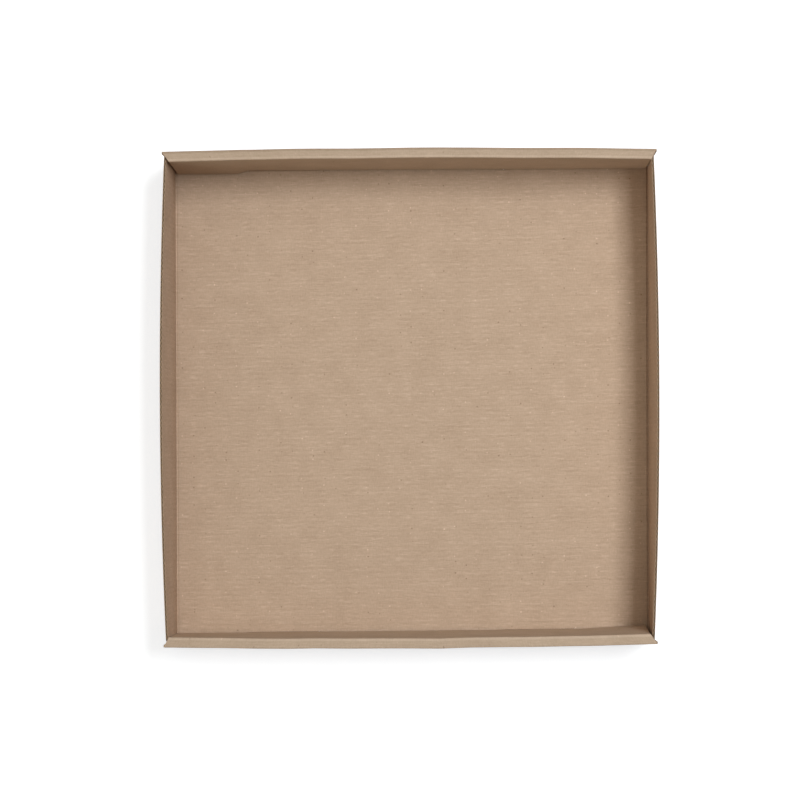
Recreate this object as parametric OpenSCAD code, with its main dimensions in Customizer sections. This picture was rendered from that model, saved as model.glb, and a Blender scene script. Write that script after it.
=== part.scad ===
// Open tray of corrugated board, folded from one die-cut blank: the base of a catering box.
// The front and back walls roll over into double walls whose inner flaps lock into the floor.
// The left and right walls are single boards, held by corner tabs inside the double walls.

/* [Tray] */
// Inside length at the floor, between the single walls
inside_l = 303; // [220:1:420]
// Inside width at the floor, between the inner flaps
inside_w = 295; // [200:1:420]
// Height over the rolled rims
tray_h = 50; // [30:1:90]

/* [Board] */
// Thickness of the corrugated board
board_t = 1.5; // [1.2:0.1:2]
// Thickness of each flat facing of the board
facing_t = 0.2; // [0.15:0.05:0.3]
// Distance from one flute to the next
flute_pitch = 3.3; // [2.6:0.1:5]
// Depth to which the flutes stand open at a cut edge
flute_depth = 3; // [1:0.5:6]
// Radius on the inside of a fold
fold_r = 0.3; // [0.1:0.1:0.6]
// Gap between two boards that lie against each other
board_gap = 0.3; // [0.2:0.1:0.6]

/* [Double walls] */
// Play on each face of a corner tab between the two boards of a double wall
tab_play = 0.75; // [0.4:0.05:2]
// How far the middle of a rolled rim bows outwards
rim_bow = 1.6; // [0:0.1:4]
// How far the ends of a double wall stand out past the feet of the single walls
end_overhang = 0.4; // [0:0.1:2]
// Gap between the end of an inner flap and the top corner of the single wall
flap_end_gap = 0.6; // [0.3:0.1:3]
// How far the free end of an inner flap springs inwards at its foot, past the lock
flap_spring = 2; // [0:0.1:4]

/* [Single walls] */
// How far the top corners of a single wall lean inwards
corner_lean = 1.4; // [0:0.1:3]
// How far the middle of a single wall's top edge leans outwards
middle_lean = 1.8; // [0:0.1:4]
// Length of a corner tab
corner_tab_l = 45; // [20:1:80]

/* [Locks] */
// Length of a locking tab
lock_l = 45; // [20:1:70]
// Distance between the middles of the two locking tabs of a flap
lock_spacing = 164; // [90:1:200]
// Play around a locking tab in its slot
lock_play = 0.4; // [0.2:0.1:1]

/* [Hidden] */
kraft = "#b99e84";
$fn = 48;

// Boards side by side in a double wall: outer wall, corner tab and inner flap
boards_in_wall = 3;
// Steps along a wall, along a corner tab and around a quarter fold
wall_steps = 24;
tab_steps = 4;
fold_steps = 4;
// Widths of a flute's mouth at the facing it opens against and at its crest, in flute pitches
mouth_base_share = 0.74;
mouth_crest_share = 0.2;
// Thickness of the wavy paper between the mouths
medium_t = facing_t;
// Squeeze on each face of a locking tab, its root inside the flap and its height over the table
lock_squeeze = 0.1;
lock_root = 1;
lock_lift = 0.3;
// Overrun of a cut past the face it opens
cut_over = 1;

fold_out_r = fold_r + board_t;
rim_w = boards_in_wall * board_t + 2 * tab_play;
half_l = inside_l / 2;
half_w = inside_w / 2;
// Outer faces of a single wall and of a double wall at their feet
single_x = half_l + board_t;
double_y = half_w + rim_w;
// Edges of the flat floor, where the folds up into the walls start
fold_x = half_l - fold_r;
fold_y = double_y - fold_out_r;
// Ends of a double wall and of its inner flap
wall_end_x = single_x + end_overhang;
flap_end_x = half_l - corner_lean - flap_end_gap;
// Heights of the single walls' top edge and of the flaps' lower edge
single_h = tray_h - board_t - board_gap;
flap_z = board_t + board_gap;
// Height at which a rolled wall's upper folds start
roll_z = tray_h - fold_out_r;
// Place along Y where a single wall turns into its corner tab
corner_y = half_w + rim_w / 2 - board_t / 2 - fold_r;

// Share of a bow at a place from -1 to 1 along a wall: none at the ends, all in the middle
function bow_share(place) = 1 - min(place * place, 1);

// Even steps from one value to another, from the first step to the last that are asked for
function steps(from, to, count, first = 0, last = undef) =
    [for (i = [first : is_undef(last) ? count : last]) from + (to - from) * i / count];

function quad(a, b, c, d) = [[a, b, c], [a, c, d]];

// Faces of a folded sheet whose skin points and then core points run row by row
function sheet_faces(rows, cols) =
    let (core = rows * cols, last_row = (rows - 1) * cols, last_col = cols - 1)
    concat(
        [for (r = [0 : rows - 2], c = [0 : cols - 2])
            let (p = r * cols + c)
            each concat(quad(p, p + 1, p + cols + 1, p + cols),
                quad(core + p, core + p + cols, core + p + cols + 1, core + p + 1))],
        [for (c = [0 : cols - 2])
            let (p = last_row + c)
            each concat(quad(c + 1, c, core + c, core + c + 1),
                quad(p, p + 1, core + p + 1, core + p))],
        [for (r = [0 : rows - 2])
            let (p = r * cols, q = p + last_col)
            each concat(quad(p, p + cols, core + p + cols, core + p),
                quad(q + cols, q, core + q, core + q + cols))]);

// Share of the flap's spring at a place along X: none up to the lock, all at the left end
function spring_share(x) =
    let (lock_end = (lock_spacing + lock_l) / 2)
    max(-x - lock_end, 0) / (flap_end_x - lock_end);

// Section of a rolled wall: fold centre along Y and Z, direction of the skin, shares of bow and spring
function rolled_section() =
    let (inner_y = half_w + fold_out_r)
    concat(
        [[fold_y, fold_out_r, 0, 0, 0]],
        [for (a = steps(0, 90, fold_steps)) [fold_y, roll_z, a, 1, 0]],
        [for (a = steps(90, 180, fold_steps)) [inner_y, roll_z, a, 1, 0]],
        [[inner_y, flap_z, 180, 0, 1]]);

// End of a rolled wall at one place of its section: the rim's ends are mitred
function rolled_end(s) =
    let (skin_y = s[0] + fold_out_r * cos(s[2]), mitre_share = (skin_y - half_w) / rim_w)
    flap_end_x + (wall_end_x - flap_end_x) * mitre_share;

function rolled_point(s, place, r) =
    let (
        x = rolled_end(s) * place,
        shift_y = rim_bow * s[3] * bow_share(place) - flap_spring * s[4] * spring_share(x))
    [x, s[0] + r * cos(s[2]) + shift_y, s[1] + r * sin(s[2])];

// Lean of a single wall's top edge at a place along Y
function single_lean(y) = (corner_lean + middle_lean) * bow_share(y / corner_y) - corner_lean;

// Plan of a single wall from one corner tab's end to the other's: fold centre, direction of the skin
function single_plan() =
    concat(
        [for (x = steps(fold_x - corner_tab_l, fold_x, tab_steps, 0, tab_steps - 1)) [x, -corner_y, -90]],
        [for (a = steps(-90, 0, fold_steps)) [fold_x, -corner_y, a]],
        [for (y = steps(-corner_y, corner_y, wall_steps, 1, wall_steps - 1)) [fold_x, y, 0]],
        [for (a = steps(0, 90, fold_steps)) [fold_x, corner_y, a]],
        [for (x = steps(fold_x, fold_x - corner_tab_l, tab_steps, 1)) [x, corner_y, 90]]);

// Point of a single wall or its tabs: the top leans, and the tabs follow the double walls' bow
function single_point(p, top, r) =
    let (x = p[0] + r * cos(p[2]), side = sign(sin(p[2])))
    [x + top * single_lean(p[1]),
        p[1] + r * sin(p[2]) + top * side * rim_bow * bow_share(p[0] / wall_end_x),
        top * single_h + (1 - top) * fold_out_r];

// Places of evenly spaced flutes along a cut edge, centred on it
function flute_places(edge_l) =
    let (count = floor(edge_l / flute_pitch))
    [for (i = [0 : count - 1]) (i - (count - 1) / 2) * flute_pitch];

// Mouth of one flute, with the edge along Y and the board's middle at X = 0
module flute_mouth(side) {
    facing_x = side * (board_t / 2 - facing_t);
    crest_x = medium_t * side - facing_x;
    base = flute_pitch * mouth_base_share / 2;
    crest = flute_pitch * mouth_crest_share / 2;
    polygon([[facing_x, -base], [facing_x, base], [crest_x, crest], [crest_x, -crest]]);
}

// Plan of the mouths in a single wall's top edge
module single_mouths() {
    middle_x = single_x - board_t / 2;
    for (y = flute_places(2 * corner_y)) {
        translate([middle_x + single_lean(y), y]) flute_mouth(1);
        between = y + flute_pitch / 2;
        if (between + flute_pitch / 2 < corner_y)
            translate([middle_x + single_lean(between), between]) flute_mouth(-1);
    }
}

// Mouths in the two upright cut edges of a double wall's outer board
module double_mouths() {
    edge_l = roll_z - fold_out_r;
    middle_z = (roll_z + fold_out_r) / 2;
    for (turn = [-1, 1])
        translate([turn * wall_end_x, double_y - board_t / 2, middle_z])
            rotate([0, 90, 0])
                translate([0, 0, -cut_over - (1 + turn) / 2 * (flute_depth - cut_over)])
                    linear_extrude(flute_depth + cut_over)
                        rotate(90)
                            for (z = flute_places(edge_l)) {
                                translate([0, z]) flute_mouth(1);
                                if (z + flute_pitch < edge_l / 2)
                                    translate([0, z + flute_pitch / 2]) flute_mouth(-1);
                            }
}

// Floor with the four slots of the locking tabs
module floor_panel() {
    slot = [lock_l + 2 * lock_play, board_t + 2 * lock_play, board_t + 2 * cut_over];
    difference() {
        translate([-fold_x, -fold_y, 0]) cube([2 * fold_x, 2 * fold_y, board_t]);
        for (x = [-1, 1], y = [-1, 1])
            translate([x * lock_spacing / 2, y * (half_w + board_t / 2), board_t / 2])
                cube(slot, center = true);
    }
}

// Quarter fold up from the floor's edge at X = 0, along Y and centred on it
module floor_fold(length) {
    translate([0, length / 2, fold_out_r])
        rotate([90, 0, 0])
            rotate(-90)
                rotate_extrude(angle = 90)
                    translate([fold_r, 0]) square([board_t, length]);
}

// Outer wall, rim and inner flap at the back, open flutes at its ends, and its locking tabs
module rolled_wall() {
    section = rolled_section();
    places = steps(-1, 1, wall_steps);
    points = concat(
        [for (s = section, u = places) rolled_point(s, u, fold_out_r)],
        [for (s = section, u = places) rolled_point(s, u, fold_r)]);
    difference() {
        polyhedron(points, sheet_faces(len(section), len(places)));
        double_mouths();
    }
    for (x = [-1, 1])
        translate([x * lock_spacing / 2 - lock_l / 2, half_w + lock_squeeze, lock_lift])
            cube([lock_l, board_t - 2 * lock_squeeze, flap_z + lock_root - lock_lift]);
}

// Single wall on the right with its two corner tabs and the open flutes of its top edge
module single_wall() {
    plan = single_plan();
    points = concat(
        [for (top = [1, 0], p = plan) single_point(p, top, fold_out_r)],
        [for (top = [1, 0], p = plan) single_point(p, top, fold_r)]);
    difference() {
        polyhedron(points, sheet_faces(2, len(plan)));
        translate([0, 0, single_h - flute_depth])
            linear_extrude(flute_depth + cut_over)
                single_mouths();
    }
}

// The whole folded sheet
module tray() {
    color(kraft) {
        floor_panel();
        for (turn = [0, 180])
            rotate(turn) {
                rolled_wall();
                single_wall();
                translate([fold_x, 0, 0]) floor_fold(2 * corner_y);
                rotate(90) translate([fold_y, 0, 0]) floor_fold(2 * fold_x);
            }
    }
}

tray();
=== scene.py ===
# %% [markdown]
# # An open catering tray of corrugated board
# The object is one flat, die-cut blank of brown corrugated board, folded up into a shallow tray.
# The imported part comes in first, because the sizes below are read from its box: the looks are made
# around the part, never the other way round.

import math

import bpy
import numpy as np
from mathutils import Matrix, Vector


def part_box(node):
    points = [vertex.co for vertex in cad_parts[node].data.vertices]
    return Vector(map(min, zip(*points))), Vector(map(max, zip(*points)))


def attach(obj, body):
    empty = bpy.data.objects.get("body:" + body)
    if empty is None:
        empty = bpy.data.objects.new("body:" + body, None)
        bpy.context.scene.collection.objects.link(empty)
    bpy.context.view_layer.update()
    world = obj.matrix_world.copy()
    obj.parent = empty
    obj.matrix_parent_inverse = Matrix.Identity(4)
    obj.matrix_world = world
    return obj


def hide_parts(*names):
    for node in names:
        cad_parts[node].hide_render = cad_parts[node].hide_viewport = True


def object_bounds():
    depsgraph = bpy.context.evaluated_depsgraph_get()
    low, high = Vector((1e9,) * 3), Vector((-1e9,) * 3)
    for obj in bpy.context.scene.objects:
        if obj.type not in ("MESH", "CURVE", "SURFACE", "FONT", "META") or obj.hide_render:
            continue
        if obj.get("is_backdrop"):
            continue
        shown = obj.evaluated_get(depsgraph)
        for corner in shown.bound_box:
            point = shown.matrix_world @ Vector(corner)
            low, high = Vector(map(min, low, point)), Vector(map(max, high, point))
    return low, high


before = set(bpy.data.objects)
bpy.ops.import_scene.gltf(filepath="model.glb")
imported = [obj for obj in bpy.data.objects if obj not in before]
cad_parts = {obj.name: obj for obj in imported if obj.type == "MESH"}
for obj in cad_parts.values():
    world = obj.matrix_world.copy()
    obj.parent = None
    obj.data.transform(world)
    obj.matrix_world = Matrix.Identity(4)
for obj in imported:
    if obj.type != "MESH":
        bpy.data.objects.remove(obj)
cad_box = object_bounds()
MM = 0.001
low, high = (np.array(corner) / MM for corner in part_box("tray"))
print("box of the part, mm:", low.round(2), high.round(2))

# %% [markdown]
# ## The board and the folded sizes
# Corrugated board is three papers: two flat liners, and a fluted paper between them that is glued to
# both at its tips. A tray for food is made of a fine grade, about 1.5 mm thick. All lengths are in
# millimetres here, and only the finished mesh is turned into metres.

# %% Sizes of the board
BOARD = 1.5  # thickness of the whole board
PAPER = 0.25  # thickness of each of its three papers
FLUTE = 3.3  # from one flute to the next
FOLD_IN = 0.3  # radius on the inside of a fold
FOLD_OUT = FOLD_IN + BOARD
FOLD_MID = FOLD_IN + BOARD / 2
GAP = 0.3  # air between two boards that lie against each other

# %% Sizes of the folded tray
TAB_PLAY = 0.75  # air on each face of a corner tab inside a double wall
RIM_BOW = 1.6  # how far a rolled rim bows out in its middle
END_OVERHANG = 0.4  # how far a double wall's ends stand out past the single walls' feet
FLAP_END_GAP = 0.6  # between the end of an inner flap and the single wall's top corner
CORNER_LEAN = 1.4  # how far the single walls' top corners lean in
MIDDLE_LEAN = 1.8  # how far the middles of their top edges lean out
CORNER_TAB = 45.0  # length of a corner tab
LOCK = 45.0  # length of a locking tab
LOCK_SPACING = 164.0  # between the middles of a flap's two locks
LOCK_PLAY = 0.4  # at the ends and the back of a locking tab in its slot
LOCK_NEAR = 0.1  # in front of it, where the flap's spring holds it against the slot
LOCK_LIFT = 0.3  # from the table up to the end of a locking tab

tray_h = high[2]
rim_w = 3 * BOARD + 2 * TAB_PLAY
double_y = high[1] - RIM_BOW
half_w = double_y - rim_w
half_l = high[0] - MIDDLE_LEAN - BOARD
fold_x = half_l - FOLD_IN
fold_y = double_y - FOLD_OUT
inner_y = half_w + FOLD_OUT
corner_y = half_w + rim_w / 2 - BOARD / 2 - FOLD_IN
wall_end = half_l + BOARD + END_OVERHANG
flap_end = half_l - CORNER_LEAN - FLAP_END_GAP
single_h = tray_h - BOARD - GAP
flap_z = BOARD + GAP
roll_z = tray_h - FOLD_OUT
print("inside", round(2 * half_l, 2), "by", round(2 * half_w, 2), "mm, rim", rim_w, "mm wide")

# %% [markdown]
# ## The blank as a folded grid
# Every place on the sheet is held as the centre of a fold, a direction out of that centre, and a depth
# in the board. A flat panel is then the same thing as a fold that doesn't turn, so one rule places all
# three papers. Modifiers could thicken a plain sheet too, but they would not give it flutes. Each place
# also remembers where it lay on the flat blank. That becomes the texture map, so the paper's grain runs
# round the folds as it does on the real sheet.

# %% Paths that fold
QUARTER = 90.0
SCORE = 1.2  # width of the board that is crushed beside a fold


def along(keys, step, fold_steps):
    """Stations from key to key, each (place, place, turn, ...), and the distance run in mid-board."""
    rows, runs = [np.array(keys[0], float)], [0.0]
    for first, last in zip(np.array(keys[:-1], float), np.array(keys[1:], float)):
        turn = math.radians(abs(last[2] - first[2]))
        length = math.hypot(*(last - first)[:2]) + FOLD_MID * turn
        shares = np.linspace(0, 1, (fold_steps if turn else max(1, math.ceil(length / step))) + 1)
        if not turn and SCORE < step < length:
            shares = np.unique(np.concatenate([shares, [SCORE / length, 1 - SCORE / length]]))
        start = runs[-1]
        for share in shares[1:]:
            rows.append(first + (last - first) * share)
            runs.append(start + length * share)
    return np.array(rows), np.array(runs)


def cosd(angle):
    return np.cos(np.radians(angle))


def sind(angle):
    return np.sin(np.radians(angle))


def bow_share(place):
    """Share of a bow at a place from -1 to 1 along a wall: none at the ends, all in the middle."""
    return 1 - np.minimum(place * place, 1)


# %% Patches of the sheet


def patch(centre, way, run, crease, keep, flip):
    """One stretch of the sheet as a grid. keep says which squares exist, and flip turns them over."""
    shape = np.broadcast_shapes(*(np.shape(part) for part in (*centre, *way, *run, crease)))
    made = {"keep": np.broadcast_to(keep, (shape[0] - 1, shape[1] - 1)), "flip": flip,
            "crease": np.broadcast_to(crease, shape).astype(float)}
    for name, parts in (("centre", centre), ("way", way), ("run", run)):
        made[name] = np.stack([np.broadcast_to(part, shape) for part in parts], -1).astype(float)
    return made


def turned(made):
    """The same stretch on the opposite side of the tray: half a turn about the upright axis."""
    half_turn = np.array([-1.0, -1.0, 1.0])
    moved = {name: made[name] * half_turn for name in ("centre", "way")}
    return {**made, **moved, "run": -made["run"]}


# %% [markdown]
# ## Floor, single walls and corner tabs
# The flutes run from the left wall to the right one. They lie a little askew to the blank, so the
# grid's own lines follow them. The two single walls fold up from the floor's ends, and their corner
# tabs turn round into the double walls. Each wall leans in at its corners and out in its middle.

# %% Grid lines of the floor
CLOSEST = 0.25  # how near a grid line may come to a marked one, in steps of the grid
SAME_LINE = 4  # decimals of a millimetre to which two grid lines are the same one
FLUTE_SKEW = math.tan(math.radians(0.9))  # how far the flutes are askew to the blank
SKEW_FADE = 6  # power by which the skew fades out towards the slots
FLAT_SCORE = 4.0  # width of the floor beside the single walls that the creasing press has flattened
FOOT_SLANT = 0.009  # slant of the front flap's foot, and of the slots that it locks into
lock_ends = np.array([LOCK_SPACING - LOCK, LOCK_SPACING + LOCK]) / 2
slot_ends = lock_ends + np.array([-LOCK_PLAY, LOCK_PLAY])
slot_in = half_w - LOCK_NEAR
slot_out = half_w + BOARD + LOCK_PLAY


def flute_lines(per_flute):
    """Lines along the flutes, so many to each, with the edges of the slots among them."""
    step = FLUTE / per_flute
    count = math.floor(slot_in / step - CLOSEST)
    edges = np.array([slot_in, slot_out, corner_y])
    return np.concatenate([-edges[::-1], np.arange(-count, count + 1) * step, edges])


def cross_lines(step, marks):
    """Lines across the flutes, with marks on both sides among them."""
    marks = np.array(marks)
    lines = np.linspace(-fold_x, fold_x, 2 * math.ceil(fold_x / step) + 1)
    free = [x for x in lines[1:-1] if np.min(np.abs(abs(x) - marks)) > step * CLOSEST]
    return np.unique(np.concatenate([free, marks, -marks, [-fold_x, fold_x]]).round(SAME_LINE))


def askew(x, line):
    """Place along Y of a line at a place along X. The front slots slant as the flap's foot does."""
    at_slots = np.minimum(np.abs(line) / slot_in, 1) ** SKEW_FADE
    straight_x = fold_x - FLAT_SCORE
    slant = FOOT_SLANT * np.clip((straight_x - np.abs(x)) / (straight_x - slot_ends[1]), 0, 1)
    return line + x * (FLUTE_SKEW * (1 - at_slots) + np.where(line < 0, slant, 0) * at_slots)


def between(values):
    """Sizes of the middles between neighbouring values."""
    return np.abs(values[1:] + values[:-1]) / 2


# %% Floor and single walls
LEFT_IN = 0.9  # how much further in the left wall is scored
LEFT_OUT = 0.4  # how much further out the top of that wall leans
left_x, right_x = LEFT_IN - fold_x, fold_x


def floor_patch(lines, across):
    line = np.concatenate([[-fold_y], lines, [fold_y]])
    at_x, at_line = between(across)[:, None], between(line)[None, :]
    slot = (at_x > slot_ends[0]) & (at_x < slot_ends[1]) & (at_line > slot_in) & (at_line < slot_out)
    x = np.interp(across, [-fold_x, -slot_ends[1], fold_x], [left_x, -slot_ends[1], fold_x])[:, None]
    y = np.where(np.abs(line) < fold_y, askew(x, line), line)
    return patch((x, y, FOLD_OUT), (0, 0, -1), (x, line), 0.0, ~slot, True)


def single_wall(lines, tab_step, down, folds, foot_in, top_out):
    """The right-hand wall: a fold up from the floor, the wall, and a corner tab round each end."""
    keys = [(fold_x, FOLD_OUT, -QUARTER, 0), (fold_x, FOLD_OUT, 0, 0), (fold_x, single_h, 0, 1)]
    rows, run = along(keys, down, folds)
    tab_end = fold_x - CORNER_TAB
    keys = [(fold_x, corner_y, 0), (fold_x, corner_y, QUARTER), (tab_end, corner_y, QUARTER)]
    tab, tab_run = along(keys, tab_step, folds)
    middle = np.zeros((len(lines), tab.shape[1]))
    middle[:, 0] = fold_x
    middle[:, 1] = askew(fold_x - foot_in, lines)
    plan = np.concatenate([(tab * [1, -1, -1])[:0:-1], middle, tab[1:]])
    line = np.concatenate([-(corner_y + tab_run)[:0:-1], lines, corner_y + tab_run[1:]])
    z, turn, top = (rows[:, [i]] for i in (1, 2, 3))
    x, y, way = plan.T
    lean = (CORNER_LEAN + MIDDLE_LEAN) * bow_share(y / corner_y) - CORNER_LEAN + top_out
    tab_bow = np.sign(sind(way)) * RIM_BOW * bow_share(x / wall_end)
    in_fold = z <= FOLD_OUT
    keep = ~(in_fold[1:] & (between(line) > corner_y))
    return patch((x + top * lean - (1 - top) * foot_in, y + top * tab_bow, z),
                 (cosd(turn) * cosd(way), cosd(turn) * sind(way), sind(turn)),
                 (fold_x - foot_in + run[:, None], line), 0.0, keep, True)


def belt(per_flute, across, down, folds):
    """Floor and both single walls, from one top edge over the floor to the other."""
    lines = flute_lines(per_flute)
    tab_step = FLUTE / per_flute
    right = single_wall(lines, tab_step, down, folds, 0.0, 0.0)
    left = single_wall(lines, tab_step, down, folds, LEFT_IN, LEFT_OUT)
    return [floor_patch(lines, across), right, turned(left)]


# %% [markdown]
# ## Rolled double walls
# The front and back walls go up, turn over a flat rim and come down again inside as a flap, which
# holds the corner tabs and locks into slots in the floor. The rim's ends are cut at a slant. Each flap
# springs inwards at one end, past its lock: sharply at the back, and little by little at the front. The
# rim is never quite straight, because a crease across so fine a board wanders from flute to flute.

# %% Double walls
FLAP_SPRING = 2.2  # how far the free end of a flap stands inwards at its foot
BACK_SPRING_RUN = 4.5  # past the lock, until the back flap has sprung all the way
FLAP_SHIFT = 0.5  # how far a flap lies to one side in its wall
RIM_LIP = 0.4  # how far the top of an inner flap stands inwards of its foot
FRONT_SLANT = (0.0055, FOOT_SLANT)  # slant of the front rim and of its flap's foot
RIM_SHARPNESS = 5  # 2 is a round fold; the more, the closer the rim's folds come to square corners
RIM_STRETCH_AND_HIGHLIGHT = 1.0  # how pale the rim's inner fold is, where the paper is stretched; partly a painted highlight on the fold
BACK_OUTER_FOLD_DARKER = -1.2  # how much darker the back rim's outer fold is
RIM_WAVES = [(0.16, 96.0, 0.4), (0.11, 53.0, 2.1), (0.07, 31.0, 4.0)]  # height, length, phase
FRONT_PHASE = 1.7  # added to those phases, so that the front rim wanders otherwise than the back one


def rim_wave(x, start):
    """How far the rim's crease wanders outwards at a place along it."""
    return sum(rise * np.sin(2 * math.pi * x / length + phase + start)
               for rise, length, phase in RIM_WAVES)


def rolled_wall(across, down, folds, spring_run, wave_start, outer_fold_tone, slant):
    """The back wall: a fold up from the floor, the outer wall, the rim, the flap and its locks."""
    lip_y = inner_y - RIM_LIP
    keys = [(fold_y, FOLD_OUT, -QUARTER, 0, 0), (fold_y, FOLD_OUT, 0, 0, 0), (fold_y, roll_z, 0, 1, 0),
            (fold_y, roll_z, QUARTER, 1, 0), (lip_y, roll_z, QUARTER, 1, 0),
            (lip_y, roll_z, 2 * QUARTER, 1, 0), (inner_y, flap_z, 2 * QUARTER, 0, 1),
            (inner_y, LOCK_LIFT, 2 * QUARTER, 0, 1)]
    rows, run = along(keys, down, folds)
    y, z, turn, bow, spring = (rows[:, [i]] for i in range(rows.shape[1]))
    place = np.concatenate([[-1], across / wall_end, [1]])
    mitre = np.where(turn < 0, 1.0, (y + FOLD_OUT * cosd(turn) - half_w) / rim_w)
    x = (flap_end + (wall_end - flap_end) * mitre) * place + FLAP_SHIFT * (1 - mitre)
    sprung = FLAP_SPRING * spring * np.clip((-x - lock_ends[1]) / spring_run, 0, 1)
    bowed = bow * (RIM_BOW + rim_wave(x, wave_start)) * bow_share(place)
    slanted = x * (slant[0] * bow + slant[1] * spring)
    at_flap = between(place) * flap_end
    beside_fold = (turn[1:] <= 0) & (z[1:] <= FOLD_OUT) & (between(place) * wall_end > fold_x)
    beside_lock = (at_flap < lock_ends[0]) | (at_flap > lock_ends[1])
    below_flap = (turn[1:] > QUARTER) & (z[1:] < flap_z) & beside_lock
    # Tone of the folds: the rim's inner fold paler, partly a painted highlight, and the back rim's
    # outer fold darker.
    crease = np.select([(turn > 0) & (turn < QUARTER), (turn > QUARTER) & (turn < 2 * QUARTER)],
                       [outer_fold_tone, RIM_STRETCH_AND_HIGHLIGHT], 0.0)
    power = RIM_SHARPNESS
    out = (np.abs(cosd(turn)) ** power + np.abs(sind(turn)) ** power) ** (-1 / power)
    out = np.where(turn > 0, out, 1.0)
    return patch((x, y + bowed + slanted - sprung, z), (0, out * cosd(turn), out * sind(turn)),
                 (place * wall_end, fold_y + run[:, None]), crease, ~(beside_fold | below_flap), False)


def rolled_walls(across, down, folds):
    # Only the back wall's outer fold is made darker; the front one keeps the paper's tone.
    back = rolled_wall(across, down, folds, BACK_SPRING_RUN, 0.0, BACK_OUTER_FOLD_DARKER, (0.0, 0.0))
    spring_run = flap_end - lock_ends[1]
    front = rolled_wall(across, down, folds, spring_run, FRONT_PHASE, 0.0, FRONT_SLANT)
    return [back, turned(front)]


# %% [markdown]
# ## Three papers in one sheet
# A paper is the grid at two depths in the board, closed by a strip along every cut edge. The liner
# inside the tray sinks a little between the flute tips that it is glued to. Board makers call that
# washboarding, and it draws the fine lines across the floor. The cut edges need no pattern of their
# own, because the three papers show their flutes there.

# %% Depths of the papers
LINER_SAG = 0.08  # how far the inner liner sinks between two flute tips
OUTER_SAG = 0.03  # the outer liner is glued last and with less pressure, and sinks less
TIP_BITE = 0.02  # how far a flute's tip presses into a liner
SCORE_DEPTHS = 0.45, 0.9  # how deep the inner liner is pressed in at the left and right walls' feet
SCORE_EDGE = 0.3  # how far that groove reaches into the floor, and over which width it ends


def flute_wave(run):
    """From -1 where the flute touches the inner liner to 1 where it touches the outer one."""
    return np.sin(2 * math.pi * run[:, 1] / FLUTE)


def into_floor(run):
    """How far a place lies inside the floor, from the nearer single wall's fold."""
    return np.minimum(run[:, 0] - left_x, right_x - run[:, 0])


def scored(run):
    """Depth of the groove that is pressed into the folds at the single walls' feet."""
    beside = np.maximum(into_floor(run) - SCORE_EDGE, -into_floor(run) - FOLD_MID * math.pi / 2)
    return np.where(run[:, 0] < 0, *SCORE_DEPTHS) * np.clip(1 - beside / SCORE_EDGE, 0, 1)


def inner_liner(run):
    flat = np.clip(np.abs(into_floor(run)) / FLAT_SCORE, 0, 1)
    sag = LINER_SAG * (1 + flute_wave(run)) / 2 * flat + scored(run)
    return sag, sag + PAPER


def outer_liner(run):
    sag = OUTER_SAG * (1 - flute_wave(run)) / 2
    return BOARD - PAPER - sag, BOARD - sag


def fluted_paper(run):
    rise = BOARD / 2 - PAPER - PAPER / 2 + TIP_BITE - scored(run) / 2
    slope = 2 * math.pi * rise / FLUTE * np.cos(2 * math.pi * run[:, 1] / FLUTE)
    middle = BOARD / 2 + scored(run) / 2 + rise * flute_wave(run)
    half = PAPER / 2 * np.sqrt(1 + slope * slope)
    return middle - half, middle + half


# %% Join patches
SAME_PLACE = 3  # decimals of a millimetre to which two points of neighbouring patches agree


def joined(patches):
    """Patches as one grid: its squares, and the centre, way, run and crease of each point in use."""
    flat = {name: np.concatenate([p[name].reshape(-1, *p[name].shape[2:]) for p in patches])
            for name in ("centre", "way", "run", "crease")}
    quads, start = [], 0
    for p in patches:
        corner = start + np.arange(p["crease"].size).reshape(p["crease"].shape)
        around = corner[:-1, :-1], corner[1:, :-1], corner[1:, 1:], corner[:-1, 1:]
        square = np.stack(around, -1)[p["keep"]]
        quads.append(square[:, ::-1] if p["flip"] else square)
        start += corner.size
    middle = (flat["centre"] + flat["way"] * FOLD_MID).round(SAME_PLACE)
    _, first, same = np.unique(middle, axis=0, return_index=True, return_inverse=True)
    used, quads = np.unique(same.ravel()[np.concatenate(quads)], return_inverse=True)
    return quads.reshape(-1, 4), {name: values[first[used]] for name, values in flat.items()}


# %% Close a paper


def paper(patches, depths):
    """Patches as one closed paper: its points, faces, places on the blank and creases."""
    quads, grid = joined(patches)
    inside, outside = depths(grid["run"])
    points = [grid["centre"] + grid["way"] * (FOLD_IN + depth)[:, None] for depth in (outside, inside)]
    sides = np.stack([quads, np.roll(quads, -1, 1)], -1).reshape(-1, 2)
    _, kind, count = np.unique(np.sort(sides, 1), axis=0, return_inverse=True, return_counts=True)
    cut, back = sides[count[kind.ravel()] == 1], len(inside)
    strips = np.stack([cut[:, 1], cut[:, 0], cut[:, 0] + back, cut[:, 1] + back], -1)
    faces = np.concatenate([quads, quads[:, ::-1] + back, strips])
    return {"points": np.concatenate(points), "faces": faces, "strips": len(strips),
            "run": np.tile(grid["run"], (2, 1)), "crease": np.tile(grid["crease"], 2)}


# %% How fine each paper's grid is
LINER_LINES, OUTER_LINES, MEDIUM_LINES = 4, 1, 6  # grid lines to each flute
INSIDE_STEP, OUTSIDE_STEP, STRAIGHT_STEP = 25, 20, 80  # along the flutes, in mm
WALL_STEP = 24  # up a wall that is flat, in mm
SHOWN_FOLD, FOLD, HIDDEN_FOLD = 6, 4, 3  # steps around a fold
lock_marks = lock_ends * wall_end / flap_end
score_marks = fold_x - np.array([SCORE_EDGE, 2 * SCORE_EDGE, 3 * SCORE_EDGE, FLAT_SCORE])
inside_across = cross_lines(INSIDE_STEP, [*slot_ends, *score_marks])
outside_across = cross_lines(OUTSIDE_STEP, [*slot_ends, *lock_marks])
fluted_across = cross_lines(STRAIGHT_STEP, [*slot_ends, *score_marks[:2]])
rolled_across = cross_lines(INSIDE_STEP, lock_marks)
print("lines across the flutes:", len(inside_across), len(outside_across), len(fluted_across))

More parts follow.
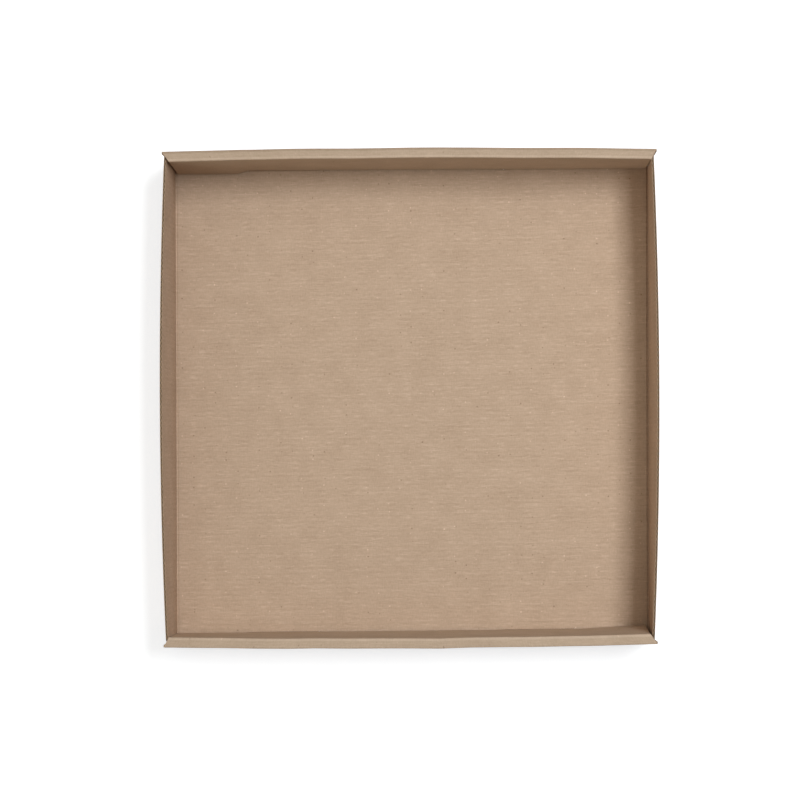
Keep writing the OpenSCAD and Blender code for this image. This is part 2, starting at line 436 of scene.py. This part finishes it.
# %% Make the three papers
INSIDE, OUTSIDE, FLUTED, CUT = range(4)
inside_belt = belt(LINER_LINES, inside_across, WALL_STEP, FOLD)
inside_walls = rolled_walls(rolled_across, WALL_STEP, FOLD)
outside_belt = belt(OUTER_LINES, outside_across, WALL_STEP, FOLD)
outside_walls = rolled_walls(outside_across, FLUTE / LINER_LINES, SHOWN_FOLD)
fluted_belt = belt(MEDIUM_LINES, fluted_across, STRAIGHT_STEP, HIDDEN_FOLD)
fluted_walls = rolled_walls(rolled_across, FLUTE / MEDIUM_LINES, HIDDEN_FOLD)
papers = [
    (INSIDE, paper(inside_belt, inner_liner)),
    *((INSIDE, paper([wall], inner_liner)) for wall in inside_walls),
    (OUTSIDE, paper([*outside_belt, *outside_walls], outer_liner)),
    (FLUTED, paper(fluted_belt, fluted_paper)),
    *((FLUTED, paper([wall], fluted_paper)) for wall in fluted_walls),
]
for kind, made in papers:
    print("paper", kind, "has", len(made["points"]), "points and", 2 * len(made["faces"]), "triangles")

# %% [markdown]
# ## One mesh
# The papers are glued together for good, so they become one object with a material for each. Edges
# sharper than a fold's own steps stay crisp, and everything else is shaded smooth.

# %% Join the papers
SHARP = math.radians(60)
starts = np.cumsum([0] + [len(made["points"]) for _, made in papers])
points = np.concatenate([made["points"] for _, made in papers]) * MM
faces = np.concatenate([made["faces"] + start for (_, made), start in zip(papers, starts)])
run = np.concatenate([made["run"] for _, made in papers]) * MM
crease = np.concatenate([made["crease"] for _, made in papers])
slots = np.concatenate([np.repeat([kind, CUT], [len(made["faces"]) - made["strips"], made["strips"]])
                        for kind, made in papers])
mesh = bpy.data.meshes.new("corrugated_tray")
mesh.from_pydata(points.tolist(), [], faces.tolist())
mesh.uv_layers.new(name="blank").uv.foreach_set("vector", run[faces.ravel()].astype(np.float32).ravel())
mesh.attributes.new("crease", "FLOAT", "POINT").data.foreach_set("value", crease.astype(np.float32))
mesh.polygons.foreach_set("material_index", slots.astype(np.int32))
mesh.polygons.foreach_set("use_smooth", np.ones(len(faces), bool))
mesh.set_sharp_from_angle(angle=SHARP)
tray = bpy.data.objects.new("corrugated_tray", mesh)
bpy.context.scene.collection.objects.link(tray)
print("tray mesh:", len(mesh.vertices), "points,", 2 * len(faces), "triangles")

# %% [markdown]
# ## Colours and nodes
# Colours are written as sRGB hex values, the way they look on a screen. Blender's sockets want linear
# light, so one function turns them over. Another adds a node, with its settings and its links.

# %% Colour and node helpers


def linear(hex_colour):
    """An sRGB hex colour as the linear numbers that a socket takes."""
    parts = [int(hex_colour[i:i + 2], 16) / 255 for i in (1, 3, 5)]
    return (*(c / 12.92 if c <= 0.04045 else ((c + 0.055) / 1.055) ** 2.4 for c in parts), 1.0)


def add(tree, kind, inputs=None, **settings):
    """Adds a node, sets its properties, fills or links its inputs, and gives back its first output."""
    made = tree.nodes.new("ShaderNode" + kind)
    for name, value in settings.items():
        setattr(made, name, value)
    for name, value in (inputs or {}).items():
        if isinstance(value, bpy.types.NodeSocket):
            tree.links.new(value, made.inputs[name])
        else:
            made.inputs[name].default_value = value
    return next(out for out in made.outputs if out.enabled) if made.outputs else made


def new_material(name):
    made = bpy.data.materials.new(name)
    made.use_nodes = True
    made.node_tree.nodes.clear()
    return made, made.node_tree


# %% [markdown]
# ## Kraft paper
# All three papers are brown kraft stock, made on a wire and pressed, but neither coated nor printed. To
# the eye that is a matt, warm brown with soft clouds where the pulp lay thicker, short fibres, specks
# of bark and of pale pulp, and faint broken lines where the liner is glued to the flutes. All patterns
# are laid out on the blank, in millimetres. Each only makes the paper a little lighter or darker.

# %% Noise in the paper
BLOTS = {  # sizes in mm of the patterns, along the flutes and across them
    "clouds": (18.0, 14.0),
    "fibres": (5.5, 0.8),  # real fibres and grain are finer, and would not show
    "cross_fibres": (0.8, 2.8),
    "grain": (1.0, 1.0),
    "glue_patches": (9.0, 5.0),  # where the glue lines show
}


def blots(tree, place):
    """The noise of each of those patterns, by name."""
    noises = {}
    for name, (length, width) in BLOTS.items():
        shares = (1 / length, 1 / width, 1)
        spread = add(tree, "VectorMath", {0: place, 1: shares}, operation="MULTIPLY")
        noise = {"Vector": spread, "Scale": 1.0, "Detail": 1.0}
        noises[name] = add(tree, "TexNoise", noise, noise_dimensions="2D")
    return noises


# %% Pulp
CLOUDS = 0.13  # how much lighter and darker the clouds are
CROSS_SHARE, GRAIN_SHARE = 0.9, 0.65  # strengths of cross fibres and grain, against the fibres' own
NOISE_MEAN = 0.5


def pulp(tree, noises, strength):
    """How light the bare pulp is, around 1, with fibres of the given strength."""
    shares = {"clouds": CLOUDS, "fibres": strength, "cross_fibres": CROSS_SHARE * strength,
              "grain": GRAIN_SHARE * strength}
    value = 1.0
    for name, share in shares.items():
        centred = add(tree, "Math", {0: noises[name], 1: NOISE_MEAN}, operation="SUBTRACT")
        value = add(tree, "Math", {0: centred, 1: share, 2: value}, operation="MULTIPLY_ADD")
    return value


# %% Glue lines
GLUE_STARTS, GLUE_FULL = 0.35, 0.7  # values of the patches' noise between which the lines come up
STREAK = 2.0  # how much paler the fibres are than the glue lines in those patches
STREAK_STARTS, STREAK_FULL = 0.5, 0.75  # values of the fibres' noise between which they turn pale


def glue_marks(tree, place, noises, value, strength):
    """Adds the lines above the flutes, and the pale fibres on them, in patches."""
    across = add(tree, "SeparateXYZ", {0: place}).node.outputs["Y"]
    turn = add(tree, "Math", {0: across, 1: 2 * math.pi / FLUTE}, operation="MULTIPLY")
    line = add(tree, "Math", {0: turn}, operation="SINE")
    pale = {0: noises["fibres"], 1: STREAK_STARTS, 2: STREAK_FULL, 3: 0.0, 4: STREAK}
    marks = add(tree, "Math", {0: line, 1: add(tree, "MapRange", pale)}, operation="ADD")
    near = {0: noises["glue_patches"], 1: GLUE_STARTS, 2: GLUE_FULL, 3: 0.0, 4: strength}
    shown = add(tree, "MapRange", near)
    return add(tree, "Math", {0: marks, 1: shown, 2: value}, operation="MULTIPLY_ADD")


# %% Specks
SPECK_SPACING, SPECK = 7.0, 0.6  # between two specks, and the radius of one
SPECK_CONTRAST = 0.37  # of the darkest and the palest speck


def specked(tree, place, value, strength):
    """Adds specks of bark and of pale pulp. Cubing their tone leaves most of them faint."""
    cells = {"Vector": place, "Scale": 1 / SPECK_SPACING}
    near = add(tree, "TexVoronoi", cells, voronoi_dimensions="2D")
    tone = add(tree, "SeparateColor", {0: near.node.outputs["Color"]})
    tone = add(tree, "MapRange", {0: tone, 1: 0.0, 2: 1.0, 3: -1.0, 4: 1.0})
    square = add(tree, "Math", {0: tone, 1: tone}, operation="MULTIPLY")
    cube = add(tree, "Math", {0: square, 1: tone}, operation="MULTIPLY")
    rim = SPECK / SPECK_SPACING
    speck = add(tree, "MapRange", {0: near, 1: rim, 2: rim / 2, 3: 0.0, 4: SPECK_CONTRAST * strength})
    return add(tree, "Math", {0: cube, 1: speck, 2: value}, operation="MULTIPLY_ADD")


# %% Kraft paper material
FOLD_TONE_SHARE = 0.13  # how much lighter or darker the marked folds are: the rim's inner fold paler, partly a painted highlight, and the back rim's outer fold darker
PALE_GREYER = 0.38  # how much greyer pale pulp is, and how much browner dark pulp
KRAFT_IOR = 1.5
KRAFT_SPECULAR = 0.03  # the pores between the fibres swallow nearly all of the gloss
ROUGHER = 0.06  # how far the roughness goes up on the fibres, and down between them
FEW_FIBRES, MANY_FIBRES = 0.2, 0.8  # values of the fibres' noise from one to the other
FIBRE_RISE, RISE_SHARE = 0.03, 0.4  # height of the fibres in mm, and how much of it shows


def kraft_paper(name, colour, fibres, glue_lines, specks, roughness):
    """A paper whose patterns have the given strengths."""
    made, tree = new_material(name)
    blank = add(tree, "UVMap", uv_map="blank")
    place = add(tree, "VectorMath", {0: blank, "Scale": 1 / MM}, operation="SCALE")
    noises = blots(tree, place)
    value = pulp(tree, noises, fibres)
    value = glue_marks(tree, place, noises, value, glue_lines)
    value = specked(tree, place, value, specks)
    # The folds' tone from the crease attribute: a painted highlight in part on the rim's inner fold,
    # and a darker back rim's outer fold.
    crease = add(tree, "Attribute", attribute_name="crease").node.outputs["Fac"]
    value = add(tree, "Math", {0: crease, 1: FOLD_TONE_SHARE, 2: value}, operation="MULTIPLY_ADD")
    greyer = {0: value, 1: -PALE_GREYER, 2: 1 + PALE_GREYER}
    browner = add(tree, "Math", greyer, operation="MULTIPLY_ADD")
    tint = {"Color": linear(colour), "Value": value, "Saturation": browner}
    smoothest, roughest = roughness - ROUGHER, roughness + ROUGHER
    rough = {0: noises["fibres"], 1: FEW_FIBRES, 2: MANY_FIBRES, 3: smoothest, 4: roughest}
    rise = {"Strength": RISE_SHARE, "Distance": FIBRE_RISE * MM, "Height": noises["fibres"]}
    surface = {"Base Color": add(tree, "HueSaturation", tint), "IOR": KRAFT_IOR,
               "Specular IOR Level": KRAFT_SPECULAR, "Roughness": add(tree, "MapRange", rough),
               "Normal": add(tree, "Bump", rise)}
    add(tree, "OutputMaterial", {"Surface": add(tree, "BsdfPrincipled", surface)})
    return made


# %% The tray's four papers
PAPERS = {  # name: colour, strengths of fibres, glue lines and specks, roughness
    # pressed soft against the flutes: matt and warm, with the flutes' glue lines showing through
    "uncoated_kraft_liner_inside": ("#c3aa95", 0.155, 0.043, 1.0, 0.88),
    # run over hot plates on its outside: a little smoother and greyer, and nearly without lines
    "uncoated_kraft_liner_outside": ("#bfa995", 0.15, 0.01, 0.8, 0.86),
    # recycled pulp, steamed and pressed between cogged rolls: darker and dull
    "recycled_fluting_paper": ("#ad9278", 0.15, 0.0, 0.5, 0.93),
    # sheared by the steel rule of the die: raw, ragged fibres without any gloss
    "die_cut_paper_edge": ("#b79d84", 0.2, 0.0, 0.0, 0.94),
}
for name, finish in PAPERS.items():
    mesh.materials.append(kraft_paper(name, *finish))
print("papers:", [made.name for made in mesh.materials])

# %% [markdown]
# ## Studio floor
# The tray stands on a sheet of white paper that fills the picture and takes a narrow, soft shadow. More
# light would turn the paper white, but it would bleach the board too. So to the camera the paper glows
# a little and is shaded on top of that. Wherever the light is nearly full it clips to white, and far
# from the tray, where the lamps are weak, it glows all the more. To every other ray it is plain white
# paper. Right under the tray it doesn't glow, because the table in a real tray's gaps is dark.

# %% Studio floor
FLOOR = 8.0  # width in metres
FLOOR_DROP = 0.05 * MM  # below the tray, so that the two never lie in the same plane
edge = FLOOR / 2
under = (half_l + BOARD) * MM, double_y * MM
corners = ((-1, -1), (1, -1), (1, 1), (-1, 1))
floor_points = [(x * w, y * l, -FLOOR_DROP) for w, l in ((edge, edge), under) for x, y in corners]
floor_faces = [(0, 1, 5, 4), (1, 2, 6, 5), (2, 3, 7, 6), (3, 0, 4, 7), (4, 5, 6, 7)]
floor_mesh = bpy.data.meshes.new("studio_floor")
floor_mesh.from_pydata(floor_points, [], floor_faces)
floor = bpy.data.objects.new("studio_floor", floor_mesh)
bpy.context.scene.collection.objects.link(floor)
floor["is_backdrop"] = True
print("floor", FLOOR, "m wide, with a place of", np.round(under, 3) * 2, "m for the tray")

# %% White paper
WHITE = (1.0, 1.0, 1.0, 1.0)
PAPER_WHITE = "#f4f4f4"
PAPER_GLOW = 0.625  # light that the paper gives by itself near the tray, where 1 is white
GLOW_NEAR, GLOW_FAR = 0.4, 1.0  # distances in metres between which that grows to 1
GLOW_COLOUR = "#f2f7ff"  # cool, because the light that reaches the shadow is warm
PAPER_SHADED = 0.77  # share of the studio's light that it adds to that


def seen(tree):
    """1 for the rays that look at the background: the camera's, and those in gloss and in glass."""
    rays = add(tree, "LightPath").node.outputs
    looks = rays["Is Camera Ray"]
    for name in ("Is Glossy Ray", "Is Transmission Ray"):
        looks = add(tree, "Math", {0: looks, 1: rays[name]}, operation="MAXIMUM")
    return looks


paper_sweep, tree = new_material("white_paper_sweep")
plain = add(tree, "BsdfDiffuse", {"Color": linear(PAPER_WHITE)})
shaded = add(tree, "BsdfDiffuse", {"Color": (*[PAPER_SHADED] * 3, 1.0)})
place = add(tree, "TexCoord").node.outputs["Object"]
away = add(tree, "VectorMath", {0: place}, operation="LENGTH").node.outputs["Value"]
strength = add(tree, "MapRange", {0: away, 1: GLOW_NEAR, 2: GLOW_FAR, 3: PAPER_GLOW, 4: 1.0})
glow = add(tree, "Emission", {"Color": linear(GLOW_COLOUR), "Strength": strength})
pale = add(tree, "AddShader", {0: shaded, 1: glow})
add(tree, "OutputMaterial", {"Surface": add(tree, "MixShader", {0: seen(tree), 1: plain, 2: pale})})
paper_under, tree = new_material("white_paper_under_the_tray")
add(tree, "OutputMaterial", {"Surface": add(tree, "BsdfDiffuse", {"Color": linear(PAPER_WHITE)})})
floor_mesh.materials.append(paper_sweep)
floor_mesh.materials.append(paper_under)
floor_mesh.polygons[-1].material_index = 1
print("floor materials:", [made.name for made in floor_mesh.materials])

# %% [markdown]
# ## Light from all sides
# A studio's walls and ceiling send back a soft light, most of it from overhead. An even world would
# light the corners of the tray as much as its middle and leave it flat. Here the light falls off from
# the brightest point, which lies a little behind the tray, so the walls shade their own feet.

# %% World
SKY = 1.05
SKY_COLOUR = "#fff8e8"
SKY_TILT = math.radians(15)  # from straight above towards the back
SKY_FALL_OFF = 4  # power by which the light falls off from its brightest point
world = bpy.data.worlds.new("studio")
bpy.context.scene.world = world
world.use_nodes = True
tree = world.node_tree
tree.nodes.clear()
way = add(tree, "TexCoord").node.outputs["Generated"]
brightest = (0.0, math.sin(SKY_TILT), math.cos(SKY_TILT))
towards = add(tree, "VectorMath", {0: way, 1: brightest}, operation="DOT_PRODUCT").node.outputs["Value"]
above = add(tree, "Math", {0: towards, 1: 0.0}, operation="MAXIMUM")
share = add(tree, "Math", {0: above, 1: SKY_FALL_OFF}, operation="POWER")
strength = add(tree, "Math", {0: share, 1: SKY}, operation="MULTIPLY")
soft = add(tree, "Background", {"Color": linear(SKY_COLOUR), "Strength": strength})
white = add(tree, "Background", {"Color": WHITE, "Strength": 1.0})
add(tree, "OutputWorld", {"Surface": add(tree, "MixShader", {0: seen(tree), 1: soft, 2: white})})
print("world", world.name, "with strength", SKY)

# %% [markdown]
# ## Lamps
# One softbox hangs high on the right, and throws the shadow of the right wall onto the floor. Its width
# across that wall sets how soft the shadow's edge is. A big, weak, warm panel stands low at the front
# left, as the studio's own walls do. It reaches the two inner faces that the softbox can't: the right
# wall's and the back flap's. Area lamps are used, because a point or a sun gives harder shadows.

# %% Softbox and fill
LAMPS = {  # name: watts, colour, width and height, place, and the point it faces, in metres
    "softbox": (36.6, "#f8fdff", (0.69, 1.11), (0.88, 0.58, 2.16), (0.88, 0.58, 0.0)),
    "fill_panel": (10.3, "#fff8e8", (1.3, 1.3), (-1.33, -1.33, 0.68), (0.0, 0.0, 0.0)),
}
lamps = {}
for name, (watts, colour, (width, height), place, target) in LAMPS.items():
    lamp = bpy.data.lights.new(name, "AREA")
    lamp.shape = "RECTANGLE"
    lamp.size, lamp.size_y = width, height
    lamp.energy = watts
    lamp.color = linear(colour)[:3]
    lamps[name] = bpy.data.objects.new(name, lamp)
    lamps[name].location = place
    lamps[name].rotation_euler = (Vector(target) - Vector(place)).to_track_quat("-Z", "Y").to_euler()
    bpy.context.scene.collection.objects.link(lamps[name])
    print(name, "gives", watts, "W")

# %% [markdown]
# ## Camera
# The photographer stood over the tray with a long lens, a few centimetres off its middle: a little more
# shows of the left wall and of the back flap. Shifting the lens brings the tray back into the middle
# of the picture and keeps its sides parallel, where turning the camera would make them lean.

# %% Camera
LENS, SENSOR = 100.0, 36.0
LENS_SHIFT = -0.025, 0.1
CAMERA_PLACE = 33.586, -39.149, 1425.844  # in millimetres
CAMERA_TURN = -0.0084177, 0.0196851, -0.0030130  # in radians, from straight down
camera_data = bpy.data.cameras.new("camera")
camera_data.lens, camera_data.sensor_width = LENS, SENSOR
camera_data.shift_x, camera_data.shift_y = LENS_SHIFT
camera = bpy.data.objects.new("camera", camera_data)
camera.location = Vector(CAMERA_PLACE) * MM
camera.rotation_euler = CAMERA_TURN
bpy.context.scene.collection.objects.link(camera)
bpy.context.scene.camera = camera
bpy.context.scene.view_settings.view_transform = "Standard"
print("camera", round(camera.location.z, 3), "m above the table")

# %% [markdown]
# ## Hand over
# The tray is one rigid piece, so it rides on the part's only body and takes the place of its plain
# solid. The two boxes are written down to show that the looks haven't changed the part's size.

# %% Hand over
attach(tray, "root")
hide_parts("tray")
boxes = {"cad": cad_box, "visual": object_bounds()}
{name: [list(corner) for corner in box] for name, box in boxes.items()}
print("boxes in metres:", boxes)
